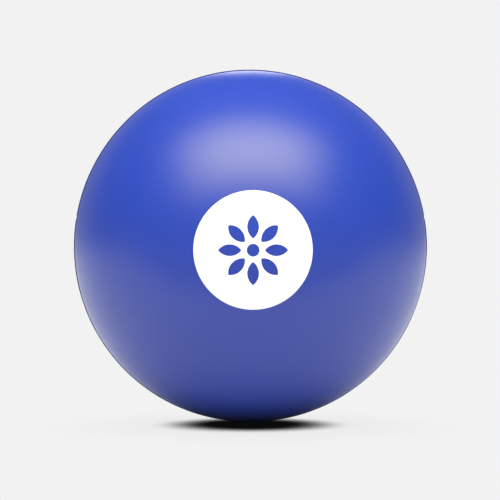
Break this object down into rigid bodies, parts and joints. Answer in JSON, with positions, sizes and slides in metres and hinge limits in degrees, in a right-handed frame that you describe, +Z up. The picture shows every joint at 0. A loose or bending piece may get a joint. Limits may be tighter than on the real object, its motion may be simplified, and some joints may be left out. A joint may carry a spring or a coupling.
{
  "type": "stress ball",
  "caption": "Round squeezable foam stress ball with a smooth satin coloured coat, a fine parting line round its middle and a printed round spot on the front.",
  "frame": {"origin": "the centre of the ball", "axes": "+Z up, -Y through the middle of the printed spot, the mould's parting line in the plane Y = 0"},
  "size_m": [0.0705, 0.07, 0.0704],
  "materials": {
    "foam": "matte",
    "skin": "satin",
    "coat": "satin",
    "ink": "satin"
  },
  "bodies": {
    "rear_half": {"foam_core": "foam", "rear_skin": "skin", "rear_coat": "coat"},
    "front_half": {"front_skin": "skin", "front_coat": "coat", "white_print": "ink"}
  },
  "joints": [
    {"name": "squeeze", "type": "slide", "parent": "rear_half", "child": "front_half", "axis": [0, 1, 0], "range_m": [0, 0.03], "stiffness_N_per_m": 1500, "deforming": ["foam_core", "rear_skin", "rear_coat", "front_skin", "front_coat", "white_print"]}
  ]
}
